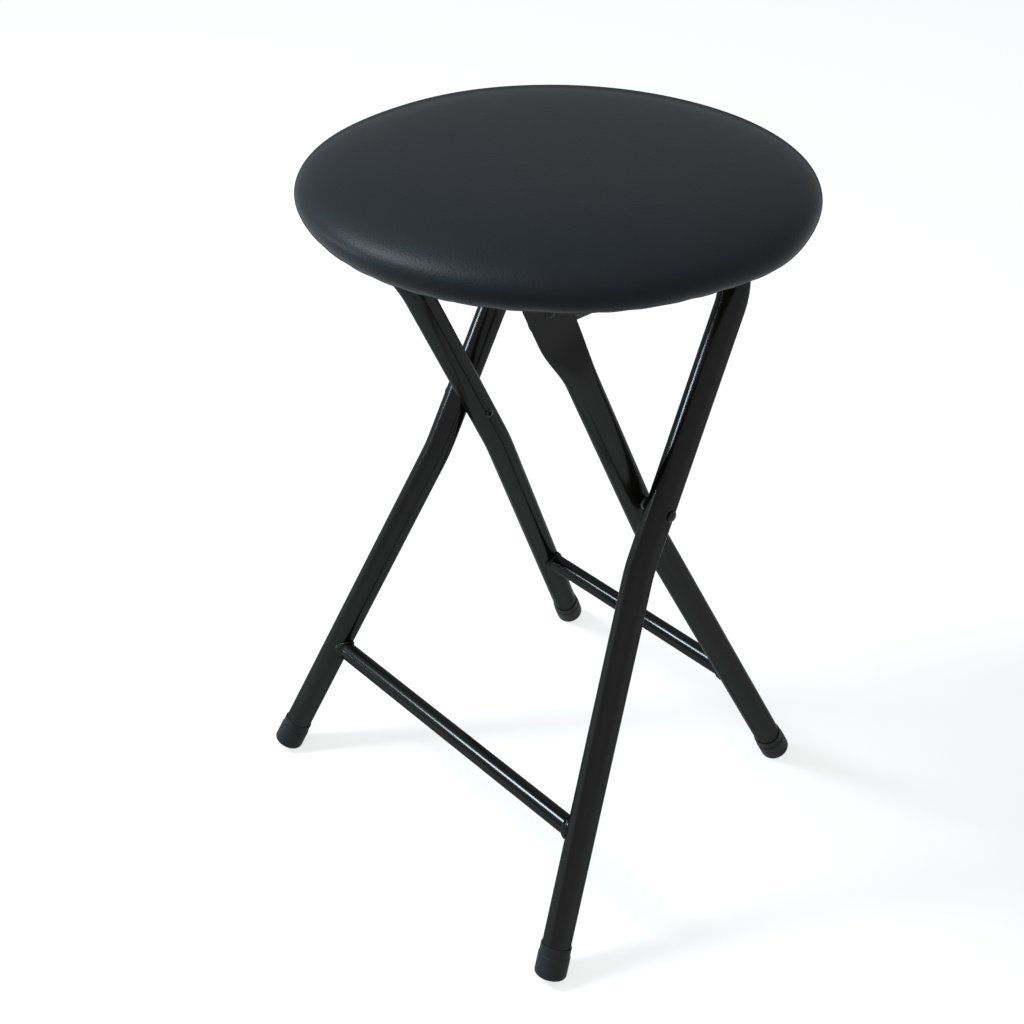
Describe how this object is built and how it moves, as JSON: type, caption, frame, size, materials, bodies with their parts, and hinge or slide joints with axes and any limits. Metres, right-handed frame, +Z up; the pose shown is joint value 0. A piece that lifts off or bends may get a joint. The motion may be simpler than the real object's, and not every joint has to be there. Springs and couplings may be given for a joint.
{
  "type": "folding stool",
  "caption": "Folding stool: round padded seat hinged on two crossed, splayed tube frames with welded crossbars and rubber feet. The seat tips up and the frames close flat.",
  "frame": {"origin": "on the floor under the middle of the seat", "axes": "+Z up; +X along the pivot line of the legs, to the user's right; -Y the front, where the seat is hinged"},
  "size_m": [0.3108, 0.3, 0.48],
  "materials": {
    "seat_vinyl": "fine-grained vinyl with a soft sheen",
    "seat_foam": "open-cell foam",
    "seat_plywood": "bare plywood",
    "frame_paint": "gloss black powder coat",
    "bracket_paint": "satin black paint",
    "rivet_black": "black, lightly worn",
    "plated_steel": "bright zinc plating",
    "moulded_plastic": "moulded black nylon",
    "foot_rubber": "matt black rubber"
  },
  "bodies": {
    "inner_frame": {"inner_leg_right": "frame_paint", "inner_leg_left": "frame_paint", "inner_crossbar": "frame_paint", "foot_cap_rear_right": "foot_rubber", "foot_cap_rear_left": "foot_rubber", "pivot_rivet_right": "rivet_black", "pivot_rivet_left": "rivet_black", "pivot_spacer_right": "moulded_plastic", "pivot_spacer_left": "moulded_plastic"},
    "outer_frame": {"outer_frame_tube": "frame_paint", "outer_crossbar": "frame_paint", "foot_cap_front_right": "foot_rubber", "foot_cap_front_left": "foot_rubber"},
    "seat": {"seat_board": "seat_plywood", "seat_foam": "seat_foam", "seat_cover": "seat_vinyl", "hinge_bracket_right": "bracket_paint", "hinge_bracket_left": "bracket_paint", "bracket_screws": "plated_steel", "rest_saddle_right": "moulded_plastic", "rest_saddle_left": "moulded_plastic", "saddle_screws": "plated_steel", "hinge_rivet_right": "rivet_black", "hinge_rivet_left": "rivet_black", "hinge_washer_right": "plated_steel", "hinge_washer_left": "plated_steel"}
  },
  "joints": [
    {"name": "seat_hinge", "type": "hinge", "parent": "inner_frame", "child": "seat", "pos_m": [0, -0.072, 0.4273], "axis": [1, 0, 0], "range_deg": [0, 116.25]},
    {"name": "leg_fold", "type": "hinge", "parent": "inner_frame", "child": "outer_frame", "pos_m": [0, 0.00142, 0.27842], "axis": [1, 0, 0], "range_deg": [0, 43.6]}
  ],
  "couplings": [
    {"joint": "leg_fold", "follows": "seat_hinge", "ratio": 0.375}
  ]
}
